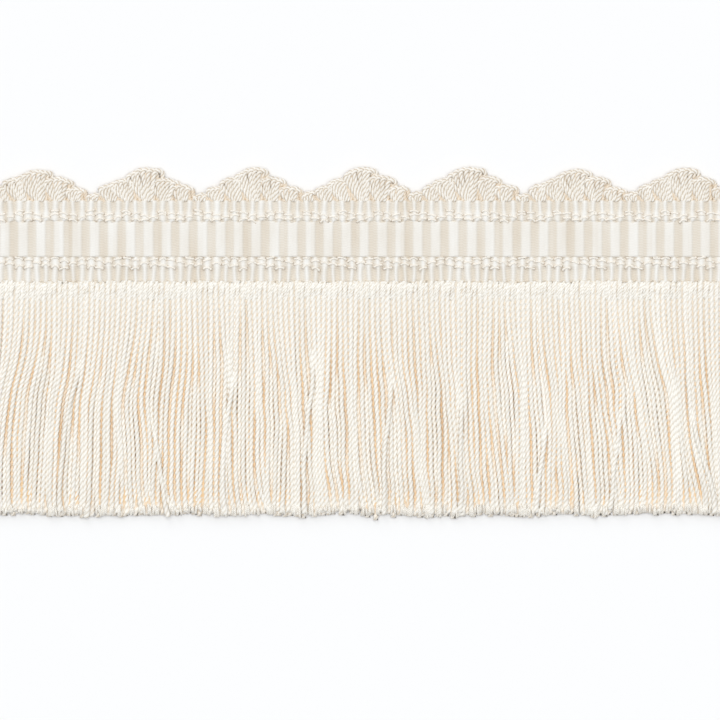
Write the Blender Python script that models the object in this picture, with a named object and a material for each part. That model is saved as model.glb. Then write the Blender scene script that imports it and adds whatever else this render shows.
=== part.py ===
"""Cut fringe trim, a cut length lying flat on its back.

A ribbed tape carries a scalloped row of cord loops along its upper edge and a skirt of cut yarn
strands along its lower edge. Metres: +X runs along the trim, +Y from the cut ends to the scallops
and +Z up. The origin is under the middle of the trim's box, on the surface that it lies on.
"""

import math
import random

import bmesh
import bpy

MM = 0.001
SEED = 7

# Length of the trim: each raised bar of the ribbon has one loop above it
SCALLOPS = 7
LOOPS_PER_SCALLOP = 6
BAR_PITCH = 3.945 * MM
BARS = SCALLOPS * LOOPS_PER_SCALLOP
LENGTH = BARS * BAR_PITCH

# Tape: two ribbed bands with a ribbon of wider bars between them
UPPER_BAND = 4.85 * MM
RIBBON = 7.7 * MM
LOWER_BAND = 5.85 * MM
BAND_STEP = 0.12 * MM
GROOVE_Z = 1.5 * MM
RIB_Z = 2.0 * MM
BAR_Z = 1.9 * MM
BAR_SHIFT = 0.1 * MM
RIBS_PER_BAR = 2
# One bar's fold lines: place in ribs from its left side, raised in the bands, raised in the ribbon
BAR_PROFILE = (
    (0.00, False, False),
    (0.28, True, False),
    (0.72, True, True),
    (1.00, False, True),
    (1.28, True, True),
    (1.72, True, True),
)

# The strips that the loops and the strands are sewn to lie just off the tape's edges
PIECE_GAP = 0.3 * MM
LOOP_STRIP = 0.6 * MM
FRINGE_STRIP = 1.3 * MM
WALL_SPAN = 20 * MM

# Loops: heights of one scallop's crowns over the tape's edge, from left to right
CROWN_HEIGHTS = (3.3 * MM, 4.9 * MM, 7.1 * MM, 6.8 * MM, 4.8 * MM, 3.0 * MM)
LOOP_Z = 1.9 * MM
FOOT_HALF = 1.5 * MM
CROWN_HALF = 1.86 * MM
EYE_HALF = 0.12 * MM
CROWN_SHARE = 0.8
CROWN_STEPS = 5
LEG_BEND = 0.4
LOOP_RIDGE = 0.2
LEAN = 1.1 * MM
LEAN_RISE = 1.5 * MM

# Skirt: two layers of strands, the upper one lying in the gaps of the lower one
SKIRT = 50.6 * MM
CUT_UNEVENNESS = 0.8 * MM
STRANDS = 129
STRAND_PITCH = LENGTH / STRANDS
STRAND_WIDTH = 0.96 * MM
STRAND_RIDGE = 0.22
CLUMP_SIZES = (2, 2, 3, 3, 4)
PINCH = 0.12
SWAY = 0.7 * MM
SWAY_LENGTH = 63 * MM
# One layer: lowest and highest z at the strip, z lost at the cut ends, step aside in strands,
# shares of its length at which it bends
LAYERS = (
    (0.0, 0.95 * MM, 0.05 * MM, 0.5, (0.45, 1.0)),
    (1.15 * MM, 2.1 * MM, 0.12 * MM, 0.0, (0.3, 0.65, 1.0)),
)

TAPE_WIDTH = UPPER_BAND + RIBBON + LOWER_BAND

IVORY_TAPE = (0.83, 0.78, 0.69)
IVORY_CORD = (0.86, 0.81, 0.72)
IVORY_YARN = (0.85, 0.80, 0.71)


def material(name, colour):
    """A dull yarn finish of one colour."""
    finish = bpy.data.materials.new(name)
    finish.use_nodes = True
    shader = finish.node_tree.nodes["Principled BSDF"]
    shader.inputs["Base Color"].default_value = (*colour, 1.0)
    shader.inputs["Roughness"].default_value = 0.75
    shader.inputs["Metallic"].default_value = 0.0
    return finish


def grid_surface(bm, columns, rows, place):
    """Make an open grid of faces with corner (column, row) at place(column, row)."""
    bmesh.ops.create_grid(bm, x_segments=columns - 1, y_segments=rows - 1, size=1.0)
    corners = sorted(bm.verts, key=lambda vert: (round(vert.co.y, 4), vert.co.x))
    faces = sorted(bm.faces, key=lambda face: (round(face.calc_center_median().y, 4),
                                               face.calc_center_median().x))
    for index, vert in enumerate(corners):
        vert.co = place(index % columns, index // columns)
    return [faces[first:first + columns - 1] for first in range(0, len(faces), columns - 1)]


def close_behind(bm, axis, level, across, middle):
    """Give an open surface walls back to one flat face, where the axis reads level.

    The long walls, on either side of the middle of the across axis, become a few flat faces each.
    """
    rim = [edge for edge in bm.edges if edge.is_boundary]
    drawn = bmesh.ops.extrude_edge_only(bm, edges=rim)["geom"]
    for item in drawn:
        if isinstance(item, bmesh.types.BMVert):
            item.co[axis] = level
    walls = [item for item in drawn if isinstance(item, bmesh.types.BMFace)]
    open_edges = [edge for edge in bm.edges if edge.is_boundary]
    bmesh.ops.edgeloop_fill(bm, edges=open_edges)
    lengths = {}
    for wall in walls:
        centre = wall.calc_center_median()
        run = max(vert.co.x for vert in wall.verts) - min(vert.co.x for vert in wall.verts)
        if run > 0.0:
            key = (centre[across] > middle, math.floor(centre.x / WALL_SPAN))
            lengths.setdefault(key, []).append(wall)
    for faces in lengths.values():
        bmesh.ops.dissolve_faces(bm, faces=faces, use_verts=True)


def corner_keys(face):
    """Say which corners of an upright face are on its right, and which are on top."""
    centre = face.calc_center_median()
    return [(vert.co.x > centre.x, vert.co.z > centre.z) for vert in face.verts]


def draw_out(bm, face, sections):
    """Draw a face out through sections, each holding a place for every corner of the face."""
    keys = corner_keys(face)
    for section in sections:
        face = bmesh.ops.extrude_discrete_faces(bm, faces=[face])["faces"][0]
        for key, vert in zip(keys, face.verts):
            vert.co = section[key]
    return face


def section_between(left, right, low, high, ridge):
    """A section from the left to the right point in plan, its top edges drawn in to a ridge."""
    section = {}
    for on_right, near, far in ((False, left, right), (True, right, left)):
        section[(on_right, False)] = (near[0], near[1], low)
        drawn_in = [a + (b - a) * ridge for a, b in zip(near, far)]
        section[(on_right, True)] = (drawn_in[0], drawn_in[1], high)
    return section


def finish_piece(bm, name, finish, trim):
    """Turn the faces outwards and make the piece an object that belongs to the trim."""
    bmesh.ops.recalc_face_normals(bm, faces=bm.faces)
    mesh = bpy.data.meshes.new(name)
    bm.to_mesh(mesh)
    bm.free()
    mesh.materials.append(finish)
    piece = bpy.data.objects.new(name, mesh)
    piece.parent = trim
    bpy.context.collection.objects.link(piece)
    return piece


def bar_edges():
    """X of each bar's left side, spaced a little unevenly, and of the last bar's right side."""
    chance = random.Random(SEED)
    edges = [-LENGTH / 2]
    for bar in range(1, BARS):
        edges.append(-LENGTH / 2 + bar * BAR_PITCH + chance.uniform(-BAR_SHIFT, BAR_SHIFT))
    edges.append(LENGTH / 2)
    return edges


def make_heading(trim):
    """The woven tape: its upper face rises in ribs and bars, and its back is flat."""
    edges = bar_edges()
    columns = []
    for left, right in zip(edges, edges[1:]):
        for ribs, band_up, ribbon_up in BAR_PROFILE:
            x = left + (right - left) * ribs / RIBS_PER_BAR
            columns.append((x, RIB_Z if band_up else GROOVE_Z, BAR_Z if ribbon_up else GROOVE_Z))
    columns.append((edges[-1], GROOVE_Z, GROOVE_Z))
    rows = (
        (0.0, False),
        (-UPPER_BAND, False),
        (-UPPER_BAND - BAND_STEP, True),
        (-UPPER_BAND - RIBBON, True),
        (-UPPER_BAND - RIBBON - BAND_STEP, False),
        (-TAPE_WIDTH, False),
    )

    def place(column, row):
        x, band_z, ribbon_z = columns[column]
        y, in_ribbon = rows[row]
        return x, y, ribbon_z if in_ribbon else band_z

    bm = bmesh.new()
    grid_surface(bm, len(columns), len(rows), place)
    close_behind(bm, axis=2, level=0.0, across=1, middle=-TAPE_WIDTH / 2)
    return finish_piece(bm, "heading", material("ivory_tape", IVORY_TAPE), trim)


def leaning(x, y):
    """Move a point of a loop to the right, more the higher that it stands over its strip."""
    return x + LEAN * (1 - math.exp(-(y - PIECE_GAP - LOOP_STRIP) / LEAN_RISE)), y


def loop_sections(middle, height):
    """Sections of one loop: up its left leg, round its crown and down its right leg."""
    strip_top = PIECE_GAP + LOOP_STRIP
    crown = min(CROWN_HALF, CROWN_SHARE * (height - strip_top))
    shoulder = height - crown
    bend = strip_top + LEG_BEND * (shoulder - strip_top)
    plan = [((-CROWN_HALF, bend), (-EYE_HALF, bend))]
    for step in range(CROWN_STEPS + 1):
        angle = math.pi * (1 - step / CROWN_STEPS)
        outer = (CROWN_HALF * math.cos(angle), shoulder + crown * math.sin(angle))
        inner = (EYE_HALF * math.cos(angle), shoulder + EYE_HALF * math.sin(angle))
        plan.append((outer, inner))
    plan.append(((CROWN_HALF, bend), (EYE_HALF, bend)))
    return [
        section_between(leaning(middle + outer[0], outer[1]), leaning(middle + inner[0], inner[1]),
                        0.0, LOOP_Z, LOOP_RIDGE)
        for outer, inner in plan
    ]


def make_scallop_loops(trim):
    """The loops, each one cord drawn out of its strip, bent over and let into the strip again."""
    middles = [-LENGTH / 2 + (bar + 0.5) * BAR_PITCH for bar in range(BARS)]
    columns = [-LENGTH / 2]
    for middle in middles:
        columns += [middle + side for side in (-FOOT_HALF, -EYE_HALF, EYE_HALF, FOOT_HALF)]
    columns.append(LENGTH / 2)
    rows = (0.0, LOOP_Z)

    def place(column, row):
        return columns[column], PIECE_GAP + LOOP_STRIP, rows[row]

    bm = bmesh.new()
    feet = grid_surface(bm, len(columns), len(rows), place)[0]
    close_behind(bm, axis=1, level=PIECE_GAP, across=2, middle=LOOP_Z / 2)
    for bar, middle in enumerate(middles):
        left_foot = feet[4 * bar + 1]
        right_foot = feet[4 * bar + 3]
        height = CROWN_HEIGHTS[bar % LOOPS_PER_SCALLOP]
        end = draw_out(bm, left_foot, loop_sections(middle, height))
        rims = list(end.edges) + list(right_foot.edges)
        bmesh.ops.delete(bm, geom=[end, right_foot], context="FACES_ONLY")
        bmesh.ops.bridge_loops(bm, edges=rims)
    return finish_piece(bm, "scallop_loops", material("ivory_cord", IVORY_CORD), trim)


def clump_middles(places, chance):
    """Share the strands out among clumps, and give each strand the middle of its own clump."""
    middles = []
    while len(middles) < len(places):
        size = min(chance.choice(CLUMP_SIZES), len(places) - len(middles))
        clump = places[len(middles):len(middles) + size]
        middles += [sum(clump) / size] * size
    return middles


def strand_sections(start, clump, tip, layer):
    """Sections of one strand, from its strip down to its cut end."""
    low, high, settling, step, bends = layer
    root = -TAPE_WIDTH - PIECE_GAP - FRINGE_STRIP
    sections = []
    for along in bends:
        sway = SWAY * along ** 1.5 * math.sin(2 * math.pi * start / SWAY_LENGTH)
        x = start + step * STRAND_PITCH + (clump - start) * PINCH * along + sway
        y = root + (tip - root) * along
        left, right = (x - STRAND_WIDTH / 2, y), (x + STRAND_WIDTH / 2, y)
        drop = settling * along
        sections.append(section_between(left, right, max(0.0, low - drop), high - drop, STRAND_RIDGE))
    return sections


def make_fringe(trim):
    """The skirt: a strip with two rows of strands drawn out of it, one row over the other."""
    starts = [-LENGTH / 2 + (strand + 0.5) * STRAND_PITCH for strand in range(STRANDS)]
    columns = [-LENGTH / 2]
    for start in starts:
        columns += [start - STRAND_WIDTH / 2, start + STRAND_WIDTH / 2]
    columns.append(LENGTH / 2)
    rows = [level for layer in LAYERS for level in layer[:2]]
    strip_end = -TAPE_WIDTH - PIECE_GAP - FRINGE_STRIP

    def place(column, row):
        return columns[column], strip_end, rows[row]

    bm = bmesh.new()
    faces = grid_surface(bm, len(columns), len(rows), place)
    close_behind(bm, axis=1, level=-TAPE_WIDTH - PIECE_GAP, across=2, middle=rows[-1] / 2)
    for number, layer in enumerate(LAYERS):
        chance = random.Random(SEED + number)
        clumps = clump_middles(starts, chance)
        for strand, (start, clump) in enumerate(zip(starts, clumps)):
            tip = -TAPE_WIDTH - SKIRT + chance.uniform(-CUT_UNEVENNESS, CUT_UNEVENNESS)
            foot = faces[2 * number][2 * strand + 1]
            draw_out(bm, foot, strand_sections(start, clump, tip, layer))
    return finish_piece(bm, "fringe", material("ivory_yarn", IVORY_YARN), trim)


def centre_on_origin(trim, pieces):
    """Move the trim so that its origin is under the middle of its box."""
    corners = [vert.co for piece in pieces for vert in piece.data.vertices]
    for axis in (0, 1):
        reach = [corner[axis] for corner in corners]
        trim.location[axis] = -(min(reach) + max(reach)) / 2


def make_trim():
    """Clear the scene and make the three pieces."""
    for thing in list(bpy.data.objects):
        bpy.data.objects.remove(thing)
    trim = bpy.data.objects.new("trim", None)
    bpy.context.collection.objects.link(trim)
    pieces = [make_heading(trim), make_scallop_loops(trim), make_fringe(trim)]
    centre_on_origin(trim, pieces)


make_trim()
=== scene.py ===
"""Looks of the cut fringe trim: an ivory ribbed tape with a scalloped row of twisted cord loops on
its upper edge and a skirt of twisted, cut yarn on its lower edge, lying flat on a white table.
"""

import math
import random

import bmesh
import bpy
import numpy as np
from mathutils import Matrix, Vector


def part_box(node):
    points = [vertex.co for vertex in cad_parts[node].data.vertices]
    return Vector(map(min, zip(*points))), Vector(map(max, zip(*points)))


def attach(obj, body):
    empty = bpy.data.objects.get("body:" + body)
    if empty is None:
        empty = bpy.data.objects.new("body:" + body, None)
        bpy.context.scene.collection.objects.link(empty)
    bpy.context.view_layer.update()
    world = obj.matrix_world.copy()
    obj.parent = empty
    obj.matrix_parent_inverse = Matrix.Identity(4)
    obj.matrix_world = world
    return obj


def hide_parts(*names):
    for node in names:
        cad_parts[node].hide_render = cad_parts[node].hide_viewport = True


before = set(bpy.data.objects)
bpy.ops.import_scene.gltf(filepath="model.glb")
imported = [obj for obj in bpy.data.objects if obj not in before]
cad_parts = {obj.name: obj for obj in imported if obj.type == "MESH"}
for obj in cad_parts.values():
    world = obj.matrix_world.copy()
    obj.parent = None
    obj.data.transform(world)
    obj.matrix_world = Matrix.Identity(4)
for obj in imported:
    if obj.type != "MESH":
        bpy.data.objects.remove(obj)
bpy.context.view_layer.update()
MM = 0.001


# Woven tape
# The heading of the trim is a stout ribbed tape of fine ivory viscose warps over thick weft cords.
# Two ribbed bands hold a ribbon of wide raised bars between them. The loom makes it in one piece,
# and its back is flat, because the trim is sewn on along it.
tape_low, tape_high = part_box("heading")
tape_length = tape_high.x - tape_low.x
tape_width = tape_high.y - tape_low.y
# The ribbon's bars, each up to a small shift off its even place. There are two ribs to a bar
BARS = 42
BAR_SHIFT = 0.1 * MM
bar_pitch = tape_length / BARS
# Where a bar starts to rise and to fall, and how broad its flanks are, in ribs
BAR_START = 0.5
BAR_END = 1.58
BAR_FLANK = 0.32
# How far in from the tape's left end the first whole rib starts, in ribs, and how far ribs stray
RIB_PHASE = 0.27
RIB_WANDER = 0.09 * MM
# Heights of the bands' grooves and ribs, of the ribbon's recesses and bars, and of the flat back
GROOVE_Z = 1.45 * MM
RIB_Z = 2.0 * MM
RECESS_Z = 1.72 * MM
BAR_Z = 1.98 * MM
BACK_Z = 0.05 * MM
COLUMNS_PER_BAR = 18
THREAD_PITCH = 0.36 * MM
# Places below the tape's upper edge, in mm: the ribbon's upper end and the two stripes of floats
RIBBON_TOP = 4.9
STRIPE_MIDDLES = (3.6, 13.8)
# Half the height of a stripe, in mm, and how far its grooves are filled up
STRIPE_HALF = 1.1
STRIPE_FILL = 0.4 * MM
# Around the ribbon's upper end, within this reach in mm, its recesses go this much further up
TOP_REACH = 0.45
RECESS_RISE = 0.3
# A float pulls its groove in a little below its own row, in mm, over a short reach
PINCH_BELOW = 0.12
PINCH_REACH = 0.16
PINCH_DEPTH = 0.05 * MM
# Rows of floats below the tape's upper edge, in mm, and which rib in four each row floats over
FLOAT_ROWS = ((2.46, 0), (2.86, 1), (3.25, 0), (3.32, 2), (3.78, 3), (4.08, 1), (4.4, 2),
              (12.78, 0), (12.98, 3), (13.28, 1), (13.72, 2), (14.08, 3), (14.42, 0), (14.92, 1))
# The tape's own ivory, and the tan and the deeper painted shade of its grooves and recesses
TAPE_IVORY = (0.858, 0.845, 0.815)
TAPE_GROOVE_SHADE = (0.7, 0.633, 0.538)
TAPE_DEEP_SHADE = (0.61, 0.515, 0.405)
# Painted shade by height: how pale the ribbon is painted, from 0 as a band's groove to 1 as a rib's
# crest
RECESS_PAINTED_LIGHT = 0.08
BAR_PAINTED_LIGHT = 0.79
# How much the ribs differ in tone, how much painted light pales the stripes of floats, and how much
# painted shade darkens a pinch
RIB_TONE = 0.12
STRIPE_PAINTED_LIGHT = 0.14
PINCH_SHADE = 0.05


class Shade:
    """A socket in a material. Arithmetic on it adds the Math nodes that work it out."""

    def __init__(self, tree, socket=None):
        self.tree = tree
        self.socket = socket

    def node(self, kind, settings=(), values=(), output=0):
        """Add a node, set it, fill or link its sockets, and give back one of its outputs."""
        made = self.tree.nodes.new(kind)
        for name, setting in dict(settings).items():
            setattr(made, name, setting)
        for name, value in dict(values).items():
            if isinstance(value, Shade):
                self.tree.links.new(value.socket, made.inputs[name])
            else:
                made.inputs[name].default_value = value
        return Shade(self.tree, made.outputs[output])

    def math(self, operation, *terms):
        return self.node("ShaderNodeMath", {"operation": operation}, dict(enumerate(terms)))

    def __add__(self, other):
        return self.math("ADD", self, other)

    __radd__ = __add__

    def __sub__(self, other):
        return self.math("SUBTRACT", self, other)

    def __rsub__(self, other):
        return self.math("SUBTRACT", other, self)

    def __mul__(self, other):
        return self.math("MULTIPLY", self, other)

    __rmul__ = __mul__

    def held(self):
        """The value kept between 0 and 1."""
        return self.math("MINIMUM", self.math("MAXIMUM", self, 0.0), 1.0)

    def mix(self, none, full):
        """A colour between two, by this value."""
        ends = [end if isinstance(end, Shade) else (*end, 1.0) for end in (none, full)]
        return self.node("ShaderNodeMix", {"data_type": "RGBA"}, {0: self, 6: ends[0], 7: ends[1]}, 2)

    def attribute(self, name):
        return self.node("ShaderNodeAttribute", {"attribute_name": name}, output="Fac")

    def grain(self, place, scale, detail=2.0):
        """Soft noise, from about 0.3 to 0.7, over a place."""
        return self.node("ShaderNodeTexNoise", (), {"Vector": place, "Scale": scale, "Detail": detail})

    def stretched(self, place, scale):
        """A place with each of its axes scaled."""
        return self.node("ShaderNodeMapping", (), {"Vector": place, "Scale": scale})


def start_finish(name, roughness):
    """A dull textile material. Its colour and bump are linked by the piece that wears it."""
    finish = bpy.data.materials.new(name)
    finish.use_nodes = True
    shader = finish.node_tree.nodes["Principled BSDF"]
    shader.inputs["Roughness"].default_value = roughness
    shader.inputs["Specular IOR Level"].default_value = 0.25
    shader.inputs["Sheen Weight"].default_value = 0.05
    shader.inputs["Sheen Roughness"].default_value = 0.5
    return finish, shader, Shade(finish.node_tree)


def dress(shader, start, colour, height, distance):
    """Link a colour, and a bump of the given depth, to a shader."""
    links = start.tree.links
    links.new(colour.socket, shader.inputs["Base Color"])
    bump = start.node("ShaderNodeBump", (), {"Height": height, "Distance": distance, "Strength": 1.0})
    links.new(bump.socket, shader.inputs["Normal"])


def point_values(mesh, name, values):
    """Keep a number for each point of a mesh, for its material to read."""
    attribute = mesh.attributes.new(name, "FLOAT", "POINT")
    attribute.data.foreach_set("value", np.asarray(values, np.float32))


def finish_piece(mesh, finish, slot, *nodes):
    """Make a mesh a piece of the trim that stands for the given CAD nodes."""
    mesh.materials.append(finish)
    piece = bpy.data.objects.new(mesh.name, mesh)
    bpy.context.scene.collection.objects.link(piece)
    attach(piece, "root")
    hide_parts(*nodes)
    return piece


def smooth(value):
    """An S-shaped step from 0 to 1, held at both ends."""
    share = min(1.0, max(0.0, value))
    return share * share * (3.0 - 2.0 * share)


def rib_lift(turn, slimness):
    """How far a rib rises, across one rib pitch, with its crest in the middle."""
    return max(0.0, 0.5 - 0.5 * math.cos(2.0 * math.pi * turn)) ** slimness


def rib_wander(rib, down):
    """How far a rib strays sideways, at a distance below the tape's edge."""
    return RIB_WANDER * math.sin(rib * 1.7 + down * 0.9)


def bar_lift(turn):
    """How far a ribbon bar rises, across two rib pitches from its left edge."""
    rise = smooth((turn - BAR_START) / BAR_FLANK)
    return rise * (1.0 - smooth((turn - BAR_END) / BAR_FLANK))


chance = random.Random(7)
bar_shifts = [0.0] + [chance.uniform(-BAR_SHIFT, BAR_SHIFT) for bar in range(1, BARS)] + [0.0]
rib_tones = [chance.uniform(-1.0, 1.0) for rib in range(2 * BARS + 1)]
rib_slimness = [chance.uniform(0.7, 2.2) for rib in range(2 * BARS + 1)]
bar_tops = [chance.uniform(-0.2, 0.15) for bar in range(BARS + 1)]


def place_along(bars):
    """The place along the tape that is some bars from its left end."""
    return tape_low.x + bars * bar_pitch + float(np.interp(bars, range(BARS + 1), bar_shifts))


# One row of points: distance below the upper edge in mm, height kept, share of the ribbon's own form
TAPE_ROWS = [(0.0, 0.55, 0.0), (0.1, 0.8, 0.0), (0.3, 0.96, 0.0), (0.7, 1.0, 0.0), (1.4, 1.0, 0.0)]
TAPE_ROWS += [(2.0 + 0.17 * step, 1.0, 0.0) for step in range(15)]
TAPE_ROWS += [(4.6, 0.98, 0.0), (4.75, 0.96, 0.0), (4.85, 0.93, 0.5), (4.98, 0.95, 1.0),
              (5.3, 0.97, 1.0)]
TAPE_ROWS += [(6.0 + 1.0 * step, 1.0, 1.0) for step in range(7)]
TAPE_ROWS += [(12.42, 1.02, 1.0), (12.5, 0.98, 1.0), (12.56, 0.9, 0.35), (12.66, 0.9, 0.0)]
TAPE_ROWS += [(12.8, 0.95, 0.0), (13.0, 0.97, 0.0)]
TAPE_ROWS += [(13.24 + 0.17 * step, 0.97, 0.0) for step in range(15)]
TAPE_ROWS += [(16.4, 1.0, 0.0), (17.2, 1.0, 0.0), (17.8, 1.0, 0.0), (18.1, 0.96, 0.0),
              (18.3, 0.85, 0.0), (18.4, 0.7, 0.0)]

tape_columns = []
for column in range(BARS * COLUMNS_PER_BAR + 1):
    bars = column / COLUMNS_PER_BAR
    turn = 2.0 * bars - RIB_PHASE
    rib = math.floor(turn)
    tape_columns.append((place_along(bars), rib_lift(turn - rib, rib_slimness[rib]),
                         bar_lift(2.0 * bars % 2.0), rib, round(turn)))

weave = bmesh.new()
bmesh.ops.create_grid(weave, x_segments=len(tape_columns) - 1, y_segments=len(TAPE_ROWS) - 1, size=1.0)


def pinched(down, groove):
    """How far the floats that end in a groove pull it in, at a distance below the tape's edge."""
    pull = 0.0
    for row, rib in FLOAT_ROWS:
        if groove % 4 in (rib, (rib + 1) % 4):
            pull += math.exp(-((down - row - PINCH_BELOW) / PINCH_REACH) ** 2)
    return min(1.0, pull)


def in_stripe(down):
    """How much a distance below the tape's edge is in one of the two stripes of floats."""
    return max(math.exp(-((down - middle) / STRIPE_HALF) ** 4) for middle in STRIPE_MIDDLES)


# Painted shade by height: each point keeps how pale it is painted, darker in grooves and recesses,
# plus random rib tones
relief_shade_layer = weave.verts.layers.float.new("tone_and_relief_shade")
side_layer = weave.verts.layers.float.new("rib_side")
ordered = sorted(weave.verts, key=lambda vert: (-round(vert.co.y, 4), vert.co.x))
for index, vert in enumerate(ordered):
    x, rib_up, bar_up, rib, groove = tape_columns[index % len(tape_columns)]
    down, kept, ribbon_share = TAPE_ROWS[index // len(tape_columns)]
    rib_z = GROOVE_Z + (RIB_Z - GROOVE_Z) * rib_up + STRIPE_FILL * in_stripe(down) * (1.0 - rib_up)
    bar_z = RECESS_Z + (BAR_Z - RECESS_Z) * bar_up
    pinch = pinched(down, groove) * max(0.0, 1.0 - 1.8 * rib_up) * (1.0 - ribbon_share)
    z = kept * (rib_z + (bar_z - rib_z) * ribbon_share) - PINCH_DEPTH * pinch
    x += rib_wander(rib, down) * (1.0 - ribbon_share)
    near_top = max(0.0, 1.0 - abs(down - RIBBON_TOP) / TOP_REACH)
    down += near_top * (bar_tops[(rib + 1) // 2] - RECESS_RISE * (1.0 - bar_up) ** 2)
    y = tape_high.y - tape_width * down / TAPE_ROWS[-1][0]
    vert.co = (x, y, z)
    ribbon_painted_light = RECESS_PAINTED_LIGHT + (BAR_PAINTED_LIGHT - RECESS_PAINTED_LIGHT) * bar_up
    vert[relief_shade_layer] = (rib_up + (ribbon_painted_light - rib_up) * ribbon_share - PINCH_SHADE * pinch
                        + RIB_TONE * rib_tones[rib] + STRIPE_PAINTED_LIGHT * in_stripe(down))
    vert[side_layer] = rib % 2
rim = [edge for edge in weave.edges if edge.is_boundary]
walls = bmesh.ops.extrude_edge_only(weave, edges=rim)["geom"]
for item in walls:
    if isinstance(item, bmesh.types.BMVert):
        item.co.z = BACK_Z
back = bmesh.ops.edgeloop_fill(weave, edges=[edge for edge in weave.edges if edge.is_boundary])
bmesh.ops.triangulate(weave, faces=back["faces"])
bmesh.ops.recalc_face_normals(weave, faces=weave.faces)
for face in weave.faces:
    face.smooth = face.normal.z > 0.05
tape_mesh = bpy.data.meshes.new("woven_tape")
weave.to_mesh(tape_mesh)
weave.free()

# The tape's least lightness, and how much comes from its relief as painted shade, from soft clouds and
# from threads
LEAST_LIGHT = 0.04
RELIEF_LIGHT = 0.85
CLOUD_LIGHT = 0.9
THREAD_LIGHT = 0.4
CLOUD_SCALE = (260.0, 90.0, 260.0)
THREAD_WANDER_SCALE = (900.0, 250.0, 900.0)
THREAD_DEPTH = 0.05 * MM
tape_finish, tape_shader, start = start_finish("ivory_ribbed_weave", 0.62)
place = start.node("ShaderNodeTexCoord", output="Object")
across = start.node("ShaderNodeSeparateXYZ", (), {"Vector": place}, output="Y")
tone_and_relief_shade = start.attribute("tone_and_relief_shade")
turns = across * (2.0 * math.pi / THREAD_PITCH) + start.attribute("rib_side") * math.pi
wander = start.grain(start.stretched(place, THREAD_WANDER_SCALE), 1.0)
threads = start.math("SINE", turns + wander * 3.0) * 0.5 + 0.5
cloudy = start.grain(start.stretched(place, CLOUD_SCALE), 1.0, 3.0)
tape_light = (tone_and_relief_shade * RELIEF_LIGHT + LEAST_LIGHT + (cloudy - 0.5) * CLOUD_LIGHT
              + (threads - 0.5) * (1.3 - tone_and_relief_shade) * THREAD_LIGHT)
# Painted shade: tan in the grooves and recesses, ivory on the crests, and a deeper shade where the
# tape is darkest
pale = tape_light.held().mix(TAPE_GROOVE_SHADE, TAPE_IVORY)
tape_colour = (tape_light * -1.5).held().mix(pale, TAPE_DEEP_SHADE)
dress(tape_shader, start, tape_colour, threads * 0.6 + wander * 0.8, THREAD_DEPTH)
woven_tape = finish_piece(tape_mesh, tape_finish, "ivory_tape", "heading")


# Binding warps
# Beside the ribbon, on both sides, seven twisted warps bind the ribs. Each of them floats over one
# rib in four, mostly a step lower from rib to rib, and goes under the others. Like all yarn of the
# trim they are viscose, plied from three ends with a Z twist.
PLIES = 3
# How near to the yarn's middle its ply grooves and the shoulders of its plies lie, in radii
PLY_GROOVE = 0.7
PLY_SHOULDER = 0.95
# A laid yarn is painted in tan shade down its flanks, between these heights over its middle, in radii
FLANK_HEIGHTS = (0.28, -0.22)
# The noise that stands for fibres is drawn out along Y, and is this deep
FIBRE_SCALE = (9000.0, 2500.0, 9000.0)
FIBRE_DEPTH = 0.04 * MM
WARP_RADIUS = 0.25 * MM
WARP_TWIST = 1.5 * MM
FLOAT_LENGTH = 2.1 * MM
# The line of a float over its rib, in mm: across from the rib's middle, and up
FLOAT_ARCH = ((-0.95, 1.68), (-0.76, 1.86), (-0.5, 1.98), (0.0, 2.03),
              (0.5, 1.98), (0.76, 1.86), (0.95, 1.68))
# A float is pressed thin over the crest and swells towards its ends, which hide from here on outward
FLOAT_WAIST = 0.75
FLOAT_SWELL = 0.8
HIDDEN_SHARES = (0.78, 0.88)
# The ends of a float are painted in full tan shade where they hide, and its flanks in this share of it
WARP_FLANK_SHADE = 0.4


def ramp(value, start, end):
    """A straight step from 0 to 1 as a value goes from its start to its end, held at both."""
    return np.clip((value - start) / (end - start), 0.0, 1.0)


def spin_yarn(length, radius, twist_length, rings_per_turn, points_per_ply):
    """A straight yarn along Z from the origin, spun as a trefoil that turns as it goes.

    It gives back the mesh, its points, and how deep each of them lies in a groove between plies.
    """
    rings = max(3, round(rings_per_turn * length / twist_length))
    yarn = bmesh.new()
    ring = bmesh.ops.create_circle(yarn, segments=PLIES * points_per_ply, radius=radius)["verts"]
    for index, vert in enumerate(ring):
        if index % points_per_ply == 0:
            vert.co *= PLY_GROOVE
        elif points_per_ply > 2:
            vert.co *= PLY_SHOULDER
    bmesh.ops.spin(yarn, geom=list(yarn.verts) + list(yarn.edges), cent=(0, 0, 0), axis=(0, 0, 1),
                   dvec=(0, 0, length / rings), angle=2 * math.pi * length / twist_length, steps=rings)
    for level in (0.0, length):
        end = [edge for edge in yarn.edges if edge.is_boundary
               and all(abs(vert.co.z - level) < 0.01 * MM for vert in edge.verts)]
        cap = bmesh.ops.edgeloop_fill(yarn, edges=end)["faces"]
        bmesh.ops.poke(yarn, faces=cap, offset=0.0)
    bmesh.ops.recalc_face_normals(yarn, faces=yarn.faces)
    for face in yarn.faces:
        face.smooth = True
    mesh = bpy.data.meshes.new("yarn_length")
    yarn.to_mesh(mesh)
    yarn.free()
    points = np.zeros(len(mesh.vertices) * 3, np.float32)
    mesh.vertices.foreach_get("co", points)
    points = points.reshape(-1, 3).astype(float)
    reach = np.hypot(points[:, 0], points[:, 1]) / radius
    return mesh, points, ramp(reach, 1.0, PLY_GROOVE)


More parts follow.
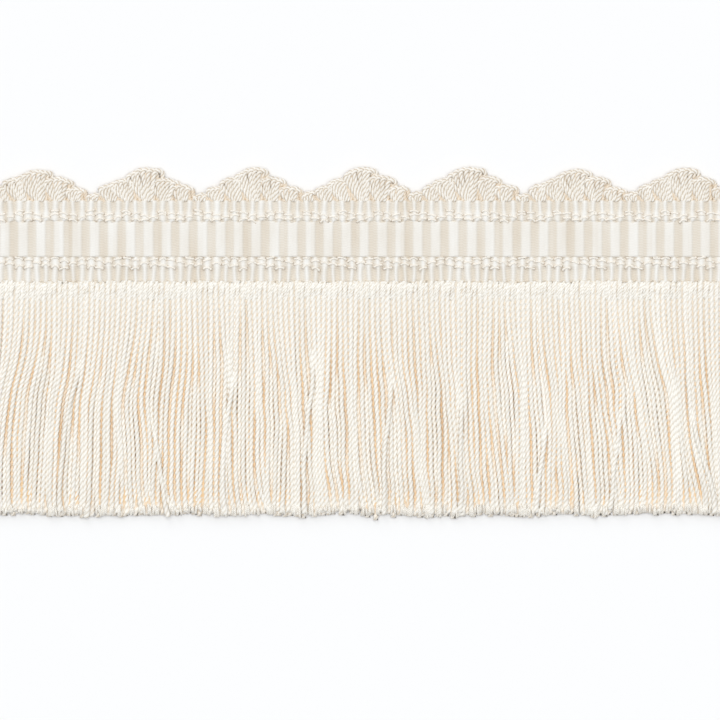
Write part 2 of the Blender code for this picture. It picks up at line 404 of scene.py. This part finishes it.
def lay_along(points, line):
    """Lay the points of a straight yarn along a line of points, keeping its upper side upwards."""
    steps = np.diff(line, axis=0)
    along = np.concatenate([[0.0], np.cumsum(np.linalg.norm(steps, axis=1))])
    forward = np.gradient(line, along, axis=0)
    forward /= np.linalg.norm(forward, axis=1, keepdims=True)
    side = np.cross(np.array([0.0, 0.0, 1.0]), forward)
    side /= np.linalg.norm(side, axis=1, keepdims=True)
    up = np.cross(forward, side)
    share = points[:, 2] / points[:, 2].max() * along[-1]
    laid = np.zeros_like(points)
    for axis in range(3):
        laid[:, axis] = (np.interp(share, along, line[:, axis])
                         + points[:, 0] * np.interp(share, along, side[:, axis])
                         + points[:, 1] * np.interp(share, along, up[:, axis]))
    return laid


def join_yarns(name, lengths):
    """One mesh of many laid yarns, each given as its straight mesh, points, groove, painted deep shade
    and tone.
    """
    meshes, laid, grooves, deep_shades, tones = zip(*lengths)
    joined = bmesh.new()
    for mesh in meshes:
        joined.from_mesh(mesh)
    made = bpy.data.meshes.new(name)
    joined.to_mesh(made)
    joined.free()
    made.vertices.foreach_set("co", np.concatenate(laid).astype(np.float32).ravel())
    point_values(made, "groove", np.concatenate(grooves))
    point_values(made, "deep_shade", np.concatenate(deep_shades))
    point_values(made, "tone", np.repeat(tones, [len(points) for points in laid]))
    made.update()
    return made


def soften(line, points, turns):
    """A line with more points, and its corners rounded."""
    dense = np.linspace(0.0, len(line) - 1.0, points)
    soft = np.stack([np.interp(dense, np.arange(len(line)), line[:, axis]) for axis in range(3)], 1)
    for turn in range(turns):
        soft[1:-1] = (soft[:-2] + 2.0 * soft[1:-1] + soft[2:]) / 4.0
    return soft


def turned_about(points, angle):
    """The points of a straight yarn turned about its own axis."""
    spun = points.copy()
    spun[:, 0] = points[:, 0] * math.cos(angle) - points[:, 1] * math.sin(angle)
    spun[:, 1] = points[:, 0] * math.sin(angle) + points[:, 1] * math.cos(angle)
    return spun


def shade_by_height(points, radius, buried):
    """How far a laid yarn is painted in tan shade: down its flanks, and more where it is buried."""
    return ramp(points[:, 1] / radius, *FLANK_HEIGHTS) * (1.0 - buried) + buried


def yarn_finish(name, ivory, shade, tan):
    """A finish for twisted yarn: ivory plies, painted shade between them, and painted tan shade where
    it is deep.
    """
    finish, shader, start = start_finish(name, 0.55)
    place = start.node("ShaderNodeTexCoord", output="Object")
    fibres = start.grain(start.stretched(place, FIBRE_SCALE), 1.0)
    groove = start.attribute("groove")
    # Painted shade in the grooves between plies, with fibre noise and each yarn's random tone
    ply_shade_and_tone = (groove * groove + (fibres - 0.5) * 0.5 + start.attribute("tone") * 0.15).held()
    # Painted tan shade where the yarn lies deep
    deep_shade_share = (start.attribute("deep_shade") + (fibres - 0.5) * 0.2).held()
    dress(shader, start, deep_shade_share.mix(ply_shade_and_tone.mix(ivory, shade), tan), fibres, FIBRE_DEPTH)
    return finish


warp_finish = yarn_finish("ivory_binding_warp", (0.965, 0.935, 0.88), (0.8, 0.735, 0.64),
                          (0.74, 0.63, 0.51))
chance = random.Random(5)
mesh, points, groove = spin_yarn(FLOAT_LENGTH, WARP_RADIUS, WARP_TWIST, rings_per_turn=8,
                                 points_per_ply=2)
floats = []
for row, over in FLOAT_ROWS:
    for rib in range(over, 2 * BARS, 4):
        middle = place_along((rib + 0.5 + RIB_PHASE) / 2.0) + rib_wander(rib, row)
        down = (row + chance.uniform(-0.12, 0.08)) * MM
        tilt = chance.uniform(-0.3, 0.3)
        bend = chance.uniform(-0.1, 0.6)
        reach = chance.uniform(0.8, 1.0)
        line = [(middle + reach * x * MM, tape_high.y - down + (tilt * x - bend * x * x) * MM, z * MM)
                for x, z in FLOAT_ARCH]
        line = soften(np.array(line), points=30, turns=3)
        spun = turned_about(points, chance.uniform(0.0, 2.0 * math.pi))
        outward = np.abs(2.0 * points[:, 2] / points[:, 2].max() - 1.0)
        hidden = ramp(outward, *HIDDEN_SHARES)
        painted_shade = np.maximum(WARP_FLANK_SHADE * shade_by_height(spun, WARP_RADIUS, 0.0), hidden)
        swell = FLOAT_WAIST + FLOAT_SWELL * outward ** 2
        spun[:, :2] *= chance.uniform(0.85, 1.1) * swell[:, None]
        floats.append((mesh, lay_along(spun, line), groove, painted_shade, chance.random()))
warp_mesh = join_yarns("binding_warps", floats)
binding_warps = finish_piece(warp_mesh, warp_finish, "ivory_tape", "heading")


# Scallop loops
# Along the tape's upper edge thick twisted cord stands out in loops, one over each bar of the
# ribbon. A loop is a few turns of the cord that rise out of the tape and lie over each other to the
# right like a pressed coil, with shorter turns below. Their heights rise and fall as scallops.
# One loop of a scallop in each row, in mm from the middle of its bar: the heights of its first and
# its last turn, the left and the right end of its crown, and its turns
LOOPS = (
    (1.5, 1.8, -1.9, 2.5, 3),
    (3.1, 3.5, -2.7, 2.4, 4),
    (4.4, 4.7, -4.2, 2.4, 5),
    (6.1, 6.9, -4.85, 3.6, 6),
    (4.9, 4.7, -3.3, 3.6, 5),
    (3.2, 2.9, -2.6, 3.1, 4),
)
# The feet of a loop, in mm: their middle, half the row of them, and the width of one turn's two feet
FOOT_MIDDLE = 0.6
FOOT_HALF = 1.3
FOOT_WIDTH = 1.0
CORD_RADIUS = 0.6 * MM
TWIST_LENGTH = 2.9 * MM
# How much painted tan shade the cord takes down its flanks, and where its end goes down behind the
# next turn
FLANK_SHADE = 0.75
SUNK_SHADE = 0.7
SUNK_SHARES = (0.55, 0.8)
# Below 1, this widens the shaded grooves between the plies
GROOVE_POWER = 0.45
# The height of a cord's middle in mm where it rises out of the tape, and how far it then falls
CORD_Z = 1.3
CORD_FALL = 0.65
# Shorter straight cords under the turns fill each loop, painted in tan shade as if buried
FILLER_Z = 1.0 * MM
FILLER_LENGTH = 4.0 * MM
FILLER_SHARES = (0.0, 0.25, 0.5, 0.75, 1.0)


def turn_line(middle, foot, left, width, height):
    """The line of one turn of cord: up from its foot, over its crown to the right, and down again."""
    half = width / 2.0
    rise = min(half * 1.1, 0.75 * height)
    shoulder = height - rise
    right_foot = foot + FOOT_WIDTH
    plan = [(foot, -0.4), (foot, 0.0), (0.4 * foot + 0.6 * left, 0.55 * shoulder)]
    for step in range(9):
        angle = math.pi * (1.0 - step / 8.0)
        sideways = math.copysign(abs(math.cos(angle)) ** 0.75, math.cos(angle))
        plan.append((left + half * (1.0 + sideways), shoulder + rise * math.sin(angle) ** 0.75))
    plan.append((0.4 * right_foot + 0.6 * (left + width), 0.55 * shoulder))
    plan += [(right_foot, 0.0), (right_foot, -0.4)]
    line = []
    for number, (x, y) in enumerate(plan):
        z = CORD_Z - CORD_FALL * smooth((number / (len(plan) - 1) - 0.2) / 0.6)
        line.append((middle + x * MM, tape_high.y + y * MM, z * MM))
    return soften(np.array(line), points=80, turns=6)


cord_finish = yarn_finish("ivory_loop_cord", (0.98, 0.965, 0.93), (0.58, 0.49, 0.375),
                          (0.76, 0.61, 0.44))
chance = random.Random(21)
cords = []
straight_cords = {}
cord_half = CORD_RADIUS / MM
for bar in range(BARS):
    first_height, last_height, crown_left, crown_right, turns = LOOPS[bar % len(LOOPS)]
    crown_left += chance.uniform(-0.4, 0.4)
    crown_right += chance.uniform(-0.4, 0.4)
    middle = tape_low.x + (bar + 0.5) * bar_pitch + chance.uniform(-0.15, 0.15) * MM
    lowered = 1.0 - chance.uniform(-0.3, 0.4) / first_height
    width = 2.3 + 0.07 * (first_height + last_height) - 2.0 * cord_half
    lefts = np.linspace(crown_left, crown_right - width - 2.0 * cord_half, turns) + cord_half
    for number in range(turns):
        share = number / (turns - 1)
        height = (first_height * lowered + (last_height - first_height) * share
                  + 0.11 * first_height * math.sin(math.pi * share) + chance.uniform(-0.1, 0.1))
        foot = FOOT_MIDDLE - FOOT_HALF + (2.0 * FOOT_HALF - FOOT_WIDTH) * share
        left = lefts[number] + chance.uniform(-0.2, 0.2)
        line = turn_line(middle, foot, left, width, height - cord_half)
        key = (bar % len(LOOPS), number)
        if key not in straight_cords:
            length = float(np.linalg.norm(np.diff(line, axis=0), axis=1).sum())
            straight_cords[key] = spin_yarn(length, CORD_RADIUS, TWIST_LENGTH, rings_per_turn=8,
                                            points_per_ply=3)
        mesh, points, groove = straight_cords[key]
        spun = turned_about(points, chance.uniform(0.0, 2.0 * math.pi))
        along_cord = points[:, 2] / points[:, 2].max()
        sunk = SUNK_SHADE * ramp(along_cord, *SUNK_SHARES)
        painted_shade = FLANK_SHADE * shade_by_height(spun, CORD_RADIUS, 0.0)
        spun[:, :2] *= (1.0 - 0.25 * np.abs(2.0 * along_cord - 1.0) ** 4)[:, None]
        cords.append((mesh, lay_along(spun, line), groove ** GROOVE_POWER, np.maximum(painted_shade, sunk),
                      chance.random()))
mesh, points, groove = spin_yarn(FILLER_LENGTH, CORD_RADIUS, TWIST_LENGTH, rings_per_turn=7,
                                 points_per_ply=2)
painted_shade = shade_by_height(points, CORD_RADIUS, 0.6)
for bar in range(BARS):
    first_height, last_height, crown_left, crown_right, turns = LOOPS[bar % len(LOOPS)]
    middle = tape_low.x + (bar + 0.5) * bar_pitch
    reach = 0.5 * (first_height + last_height) - 0.6
    for share in FILLER_SHARES:
        foot = FOOT_MIDDLE * MM + (share - 0.5) * bar_pitch
        crown = (crown_left + 1.0 + (crown_right - crown_left - 2.0) * share) * MM
        top = reach * (1.0 - (0.35 - 0.17 * share) * (2.0 * share - 1.0) ** 2) * MM
        ends = np.array([(middle + foot, tape_high.y - 0.4 * MM, FILLER_Z),
                         (middle + crown, tape_high.y + top, FILLER_Z)])
        line = soften(ends, points=12, turns=0)
        cords.append((mesh, lay_along(points, line), groove, painted_shade, chance.random()))
cord_mesh = join_yarns("loop_cords", cords)
loop_cords = finish_piece(cord_mesh, cord_finish, "ivory_cord", "scallop_loops")


# Fringe skirt
# Below the tape the same kind of yarn hangs in a skirt, three strands deep, cut with shears. The
# front strands wander more the lower they hang, so that long gaps open between them, where those
# below show. At the tape and at the cut the yarn's single plies come loose.
fringe_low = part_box("fringe")[0]
SKIRT = tape_low.y - fringe_low.y
STRANDS = 140
STATIONS = 50
STRAND_RADIUS = 0.63 * MM
SKIRT_TWIST = 3.9 * MM
# How far below the tape the strands wander in full, and the cracks between them are painted in full
# tan shade
FREE_BELOW = 24.0 * MM
FULL_SHADE_BELOW = 21.0 * MM
# Where a cut end begins to flatten and open, and where it is open, in shares of the skirt
END_SHARES = (0.93, 0.98)
# How close and how far apart the middles of two front strands may lie, and the lowest strand's middle
CLOSEST = 0.5 * MM
WIDEST = 2.0 * MM
LOWEST_Z = 0.67 * MM
# How far the strands' roots reach over the tape's edge at most, and how far their cut ends sink
ROOT_COVER = 0.75 * MM
END_SINK = 0.14 * MM
# How many strands in from the trim's ends they are free, and how many openings there are to a gap
END_STRANDS = 8.0
OPENINGS_PER_GAP = 2.2
# Leans of the front strands: how far in mm, over what lengths in mm, and how many neighbours agree
LEANS = ((6.0, (230.0,), 20), (1.2, (110.0,), 4), (0.85, (150.0, 60.0), 1))
# Spacings of two front strands at which a gap starts and is full, for a parted and for a wide gap
PARTED_SPACING = (1.22 * MM, 1.47 * MM)
WIDE_SPACING = (1.4 * MM, 1.7 * MM)
# How high the front strands lie, in mm, and how far they fall below the tape and towards the cut
FRONT_HEIGHT = 1.8
TAPE_FALL = 0.35
CUT_FALL = 0.7
# How far under the front strands the middle ones lie, in mm: at the tape, how much further lower
# down and in a parted gap, and how much less in a wide one
MIDDLE_DEPTH = 0.22
LOWER_DEPTH = 0.1
GAP_DEPTH = 0.2
WIDE_RISE = 0.25
# What share of its painted tan shade a strand keeps at either end of the trim
OUTER_SHADE = 0.15
# How far the front, the middle and the back strands are cut short of the skirt's lower edge
FRONT_SHORT = 0.6 * MM
MIDDLE_SHORT = 0.5 * MM
BACK_SHORT = 0.1 * MM
fringe_chance = np.random.default_rng(12)
along = np.linspace(0.0, 1.0, STATIONS)
loose = ramp(along * SKIRT, 0.0, FREE_BELOW) ** 1.1
near_cut = ramp(along, *END_SHARES)
skirt_finish = yarn_finish("ivory_fringe_yarn", (0.965, 0.946, 0.903), (0.72, 0.665, 0.57),
                           (0.82, 0.56, 0.295))


def ripples(count, lengths):
    """Smooth random waves along each of some strands, with lengths in mm and a spread of about one."""
    total = np.zeros((count, STATIONS))
    for length in lengths:
        stretch = fringe_chance.uniform(0.8, 1.25, (count, 1))
        phase = fringe_chance.uniform(0.0, 2.0 * math.pi, (count, 1))
        total += np.sin(2.0 * math.pi * along * SKIRT / (length * MM * stretch) + phase)
    return total / math.sqrt(0.5 * len(lengths))


def openings(count, per_gap):
    """How far each two neighbours part along their length: long thin lenses at random places."""
    opened = np.zeros((count, STATIONS))
    for number in range(round(count * per_gap)):
        middle = fringe_chance.uniform(0.12, 1.08)
        half = fringe_chance.uniform(2.5, 8.0) * MM / SKIRT
        lens = np.clip(1.0 - ((along - middle) / half) ** 2, 0.0, 1.0)
        gap = fringe_chance.integers(count)
        opened[gap] = np.maximum(opened[gap], fringe_chance.uniform(0.06, 0.36) * MM * lens)
    return opened * np.clip(along / 0.25, 0.4, 1.0)


def blur_across(values, reach):
    """Values with each strand's averaged with those of its neighbours."""
    offsets = np.arange(-3 * reach, 3 * reach + 1)
    weights = np.exp(-0.5 * (offsets / reach) ** 2)
    padded = np.pad(values, ((3 * reach, 3 * reach), (0, 0)), mode="edge")
    return sum(weight * padded[shift:shift + len(values)]
               for shift, weight in enumerate(weights / weights.sum()))


def cut_lengths(count, short):
    """The lengths of some strands, cut nearly level, by an amount short of the skirt's lower edge."""
    number = np.arange(count)
    wave = 0.3 * np.sin(0.33 * number + 2.0 * np.sin(0.12 * number))
    return SKIRT - short + (wave + fringe_chance.normal(0.0, 0.2, count)) * MM


def lay_skirt(name, straight, across, heights, lengths, buried, parted):
    """One layer of the skirt, made a piece of the trim.

    For each strand and station it takes the place across, the height, how far the strand lies under
    others and how far its neighbours are parted. A strand is painted in tan shade down its flanks and
    where it is buried, but only in a grey painted shade near the tape, and in less painted shade at
    its cut end and where it is the last of its row.
    """
    across, heights, buried, parted = np.broadcast_arrays(across, heights, buried, parted)
    mesh, points, groove = straight
    share = points[:, 2] / SKIRT
    deep = 0.15 + 0.85 * ramp(points[:, 2], 0.0, FULL_SHADE_BELOW)
    end = ramp(share, *END_SHARES)
    strands = []
    for strand in range(len(across)):
        top = tape_low.y + fringe_chance.uniform(0.0, ROOT_COVER)
        line = np.stack([across[strand], top - along * lengths[strand], heights[strand]], 1)
        spun = turned_about(points, fringe_chance.uniform(0.0, 2.0 * math.pi))
        shown = 0.85 + 0.15 * np.interp(share, along, parted[strand])
        flank_painted_shade = shade_by_height(spun, STRAND_RADIUS, np.interp(share, along, buried[strand]))
        if strand in (0, len(across) - 1):
            flank_painted_shade *= OUTER_SHADE
        # Painted tan shade, deeper down the skirt and less at the cut end; painted shade in the ply
        # grooves and, near the tape, on the flanks
        painted_shade = flank_painted_shade * shown * deep * (1.0 - 0.85 * end)
        shaded = np.maximum(groove * (0.75 + 0.25 * deep), np.sqrt(flank_painted_shade * (1.0 - deep)))
        spun[:, :2] *= (1.0 + end * (fringe_chance.uniform(0.0, 0.25) + 0.2 * groove))[:, None]
        spun[:, 1] *= 1.0 - 0.5 * end
        strands.append((mesh, lay_along(spun, line), shaded, painted_shade, fringe_chance.random()))
    return finish_piece(join_yarns(name, strands), skirt_finish, "ivory_yarn", "fringe")


# Places across of the front strands, which lean in groups and part, and stay in at the trim's ends
roots = tape_low.x + tape_length * (np.arange(STRANDS) + 0.5)[:, None] / STRANDS
from_end = np.minimum(np.arange(STRANDS), np.arange(STRANDS)[::-1])[:, None]
kept_in = ramp(from_end, 0.0, END_STRANDS)
lean = sum(far * blur_across(ripples(STRANDS, lengths), reach) for far, lengths, reach in LEANS)
across = roots + loose * kept_in * (lean - lean[:, :1]) * MM
opened = openings(STRANDS - 1, OPENINGS_PER_GAP)
shift = np.cumsum(opened - opened.mean(0), axis=0)
shift -= 0.85 * blur_across(shift, 3)
across[1:] += kept_in[1:] * shift
spacing = np.clip(np.diff(across, axis=0), CLOSEST, WIDEST)
spacing *= (across[-1] - across[0]) / spacing.sum(0)
across[1:] = across[0] + np.cumsum(spacing, axis=0)
for turn in range(4):
    across[:, 1:-1] = (across[:, :-2] + 2.0 * across[:, 1:-1] + across[:, 2:]) / 4.0
across += fringe_chance.uniform(-0.07, 0.07, (STRANDS, 1)) * MM

# Their heights, and those of the middle layer, which fills the valleys and rises in wide gaps
lowest = LOWEST_Z - END_SINK * near_cut
droop = FRONT_HEIGHT - TAPE_FALL * ramp(along, 0.0, 0.2) - CUT_FALL * ramp(along, 0.85, 1.0)
rank = fringe_chance.uniform(-0.22, 0.22, (STRANDS, 1))
waves = 0.1 * ripples(STRANDS, (40.0, 20.0))
heights = np.maximum((droop + loose * (rank + waves)) * MM, lowest)
spacing = np.diff(across, axis=0)
parted = ramp(spacing, *PARTED_SPACING)
wide = ramp(spacing, *WIDE_SPACING)
beside = np.maximum(np.pad(parted, ((1, 0), (0, 0))), np.pad(parted, ((0, 1), (0, 0))))
across += ramp(along, 0.88, 1.0) ** 2 * kept_in * fringe_chance.laplace(0.0, 0.3 * MM, (STRANDS, 1))
mid_across = (across[:-1] + across[1:]) / 2.0 + 0.06 * MM * loose * ripples(STRANDS - 1, (35.0,))
mid_depth = MIDDLE_DEPTH + LOWER_DEPTH * ramp(along * SKIRT, 0.0, 10.0 * MM)
mid_depth = (mid_depth + GAP_DEPTH * parted - WIDE_RISE * wide) * (1.0 - 0.5 * near_cut) * MM
mid_heights = np.maximum(np.minimum(heights[:-1], heights[1:]) - mid_depth, lowest)

# One strand in some strays: it rises out of the middle layer and slants over the front
FIRST_STRAY = 5
STRAY_EVERY = 14
stray_across = []
stray_heights = []
for strand in range(FIRST_STRAY, STRANDS - FIRST_STRAY, STRAY_EVERY):
    slant = fringe_chance.choice([-1.0, 1.0]) * fringe_chance.uniform(1.2, 3.4) * MM
    leaves = fringe_chance.uniform(0.25, 0.7)
    stray = ramp(along, leaves, leaves + 0.3)
    stray_across.append(mid_across[strand] + slant * stray * along)
    rise = 0.9 * ramp(stray, 0.0, 0.33) - 0.3 * ramp(along, END_SHARES[0], 1.0)
    stray_heights.append(mid_heights[strand] + rise * MM)

front_cut = cut_lengths(STRANDS, FRONT_SHORT)
round_strand = spin_yarn(SKIRT, STRAND_RADIUS, SKIRT_TWIST, rings_per_turn=8, points_per_ply=2)
middle_strand = spin_yarn(SKIRT, STRAND_RADIUS, SKIRT_TWIST, rings_per_turn=6, points_per_ply=2)
back_strand = spin_yarn(SKIRT, STRAND_RADIUS, SKIRT_TWIST, rings_per_turn=5, points_per_ply=2)
front = lay_skirt("fringe_front", round_strand, across, heights, front_cut, 0.0, beside)
strays = lay_skirt("fringe_strays", round_strand, stray_across, stray_heights,
                   cut_lengths(len(stray_across), FRONT_SHORT), 0.0, 0.5)
# The middle and back strands are painted in tan shade as buried, the middle ones less where a gap is
# wide
middle_layer = lay_skirt("fringe_middle", middle_strand, mid_across, mid_heights,
                         cut_lengths(STRANDS - 1, MIDDLE_SHORT), 0.85 * (1.0 - wide), parted)
back_across = roots + 0.2 * MM * loose * ripples(STRANDS, (50.0, 24.0))
back_layer = lay_skirt("fringe_back", back_strand, back_across, lowest,
                       cut_lengths(STRANDS, BACK_SHORT), 0.9, 1.0)

PLY_RADIUS = 0.29 * MM
PLY_LENGTH = 3.6 * MM
PLY_TWIST = 2.2 * MM
single_ply = spin_yarn(PLY_LENGTH, PLY_RADIUS, PLY_TWIST, rings_per_turn=7, points_per_ply=2)
# The heights of the loose plies in mm, from their upper ends down
ROOT_ARCH = (1.65, 1.93, 1.98, 2.02, 2.0, 1.9, 1.75, 1.6)
TIP_ARCH = (1.1, 1.25, 1.25, 1.15, 1.0, 0.75)


def lay_plies(name, upper_x, upper_y, spreads, lengths, arch, size):
    """Short single plies down the skirt from their upper ends, each spread sideways, as a piece."""
    mesh, points, groove = single_ply
    share = np.linspace(0.0, 1.0, len(arch))
    plies = []
    for x, y, spread, length in zip(upper_x, upper_y, spreads, lengths):
        z = (np.array(arch) + fringe_chance.uniform(-0.08, 0.08)) * MM
        line = np.stack([x + spread * share, y - length * share, z], 1)
        spun = turned_about(points, fringe_chance.uniform(0.0, 2.0 * math.pi))
        # Painted tan shade down each ply's flanks, and painted shade in its widened grooves
        painted_shade = 0.5 * shade_by_height(spun, PLY_RADIUS, 0.0)
        spun[:, :2] *= size
        plies.append((mesh, lay_along(spun, line), np.sqrt(groove), painted_shade, fringe_chance.random()))
    return finish_piece(join_yarns(name, plies), skirt_finish, "ivory_yarn", "fringe")


number = np.arange(2 * STRANDS)
places = (number + 0.5 + fringe_chance.uniform(-0.4, 0.4, len(number))) / len(number)
fans = -0.45 + 0.35 * np.sin(number * 1.35 + 1.5 * np.sin(number * 0.35))
fans += fringe_chance.uniform(-0.2, 0.2, len(number))
root_plies = lay_plies("root_plies", tape_low.x + tape_length * places,
                       tape_low.y + fringe_chance.uniform(-0.1, 0.5, len(number)) * MM,
                       fans * MM, np.full(len(number), PLY_LENGTH), ROOT_ARCH, 1.35)
number = np.repeat(np.arange(STRANDS), PLIES)
frays = fringe_chance.uniform(-1.0, 1.0, len(number))
frayed = fringe_chance.uniform(1.5, 3.0, len(number)) * MM
uneven = fringe_chance.normal(-0.2, 0.2, len(number)) * MM
tip_lengths = frayed + front_cut[number] - SKIRT + uneven
tip_plies = lay_plies("tip_plies", across[number, -1] + 0.4 * frays * MM,
                      tape_low.y - SKIRT + frayed, 0.25 * frays * MM, tip_lengths, TIP_ARCH, 1.1)


# Table, light and camera
# The trim lies on a white table in soft studio light, most of it from the ceiling and some from a
# window beyond the scallops. It is seen from straight above, with its ends outside the picture.
PIXEL = 0.22 * MM
PICTURE = 720
TAPE_TOP_ROW = 200.0
TAPE_LEFT_COLUMN = -23.2
CAMERA_HEIGHT = 1.5
TABLE_HALF = 1.5

table = bmesh.new()
bmesh.ops.create_grid(table, x_segments=1, y_segments=1, size=TABLE_HALF)
table_mesh = bpy.data.meshes.new("table")
table.to_mesh(table_mesh)
table.free()
table_finish = bpy.data.materials.new("white_table")
table_finish.use_nodes = True
table_shader = table_finish.node_tree.nodes["Principled BSDF"]
table_shader.inputs["Base Color"].default_value = (0.878, 0.878, 0.884, 1.0)
table_shader.inputs["Roughness"].default_value = 0.9
table_mesh.materials.append(table_finish)
table_top = bpy.data.objects.new("table", table_mesh)
bpy.context.scene.collection.objects.link(table_top)

world = bpy.data.worlds.new("pale_room")
world.use_nodes = True
world.node_tree.nodes["Background"].inputs["Color"].default_value = (0.96, 0.98, 1.0, 1.0)
world.node_tree.nodes["Background"].inputs["Strength"].default_value = 0.48
bpy.context.scene.world = world

# Each broad light: its name, where it shines from, its strength and how many degrees wide it is
LIGHTS = (("ceiling", (0.0, 0.1, 1.0), 1.75, 60.0), ("window", (-0.3, 0.85, 0.5), 0.7, 36.0))
for name, source, strength, width in LIGHTS:
    light_data = bpy.data.lights.new(name, "SUN")
    light_data.angle = math.radians(width)
    light_data.energy = strength
    light_data.color = (0.99, 0.99, 0.98)
    light = bpy.data.objects.new(name, light_data)
    light.rotation_euler = Vector(source).to_track_quat("Z", "Y").to_euler()
    bpy.context.scene.collection.objects.link(light)

camera_data = bpy.data.cameras.new("camera")
camera_data.sensor_width = 36.0
camera_data.lens = camera_data.sensor_width * CAMERA_HEIGHT / (PICTURE * PIXEL)
camera_data.clip_start = 0.1
camera_data.clip_end = 10.0
camera = bpy.data.objects.new("camera", camera_data)
camera.location = (tape_low.x + (PICTURE / 2 - TAPE_LEFT_COLUMN) * PIXEL,
                   tape_high.y - (PICTURE / 2 - TAPE_TOP_ROW) * PIXEL,
                   CAMERA_HEIGHT)
bpy.context.scene.collection.objects.link(camera)
bpy.context.scene.camera = camera
bpy.context.scene.view_settings.view_transform = "Standard"
